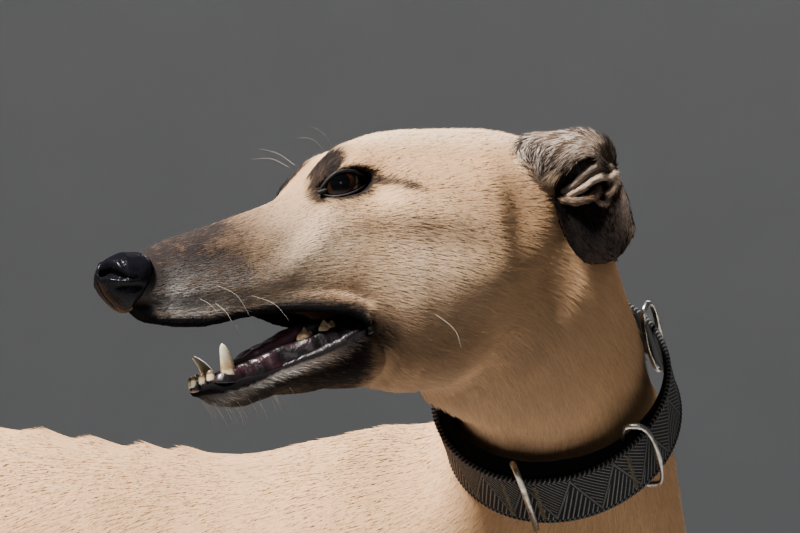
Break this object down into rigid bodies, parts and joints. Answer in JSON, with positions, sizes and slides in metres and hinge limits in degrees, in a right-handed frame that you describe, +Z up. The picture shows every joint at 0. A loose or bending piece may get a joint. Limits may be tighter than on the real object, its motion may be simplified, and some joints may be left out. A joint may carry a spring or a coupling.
{
  "type": "standing greyhound",
  "caption": "Standing fawn greyhound that looks back over its right shoulder with its mouth open, wearing a wide padded collar with wire loops.",
  "frame": {"origin": "on the floor, under the middle of the whole dog's bounding box", "axes": "+X forward along the trunk, towards the chest; +Y towards the dog's left; +Z up. The head is turned back over the right shoulder and faces -X, turned a little towards -Y."},
  "size_m": [0.831, 0.348, 0.8562],
  "materials": {
    "coat": "short smooth fur, fawn",
    "dark_coat": "short smooth fur, dark grey-brown",
    "nose_leather": "moist, finely pebbled, black",
    "tongue": "wet, dull pink",
    "eye": "wet, very dark brown",
    "webbing": "black woven webbing with pale hatched print",
    "collar_metal": "polished wire"
  },
  "bodies": {
    "root": {"head": "coat", "lower_jaw": "dark_coat", "ear_right": "dark_coat", "ear_left": "dark_coat", "torso": "coat", "neck": "coat", "tail": "coat", "fore_leg_left": "coat", "fore_leg_right": "coat", "fore_paw_left": "coat", "fore_paw_right": "coat", "hind_leg_left": "coat", "hind_leg_right": "coat", "hind_paw_left": "coat", "hind_paw_right": "coat", "nose": "nose_leather", "tongue": "tongue", "eye_right": "eye", "eye_left": "eye", "collar_band": "webbing", "collar_loop_rear": "collar_metal", "collar_loop_middle": "collar_metal", "collar_loop_front": "collar_metal"}
  },
  "joints": []
}
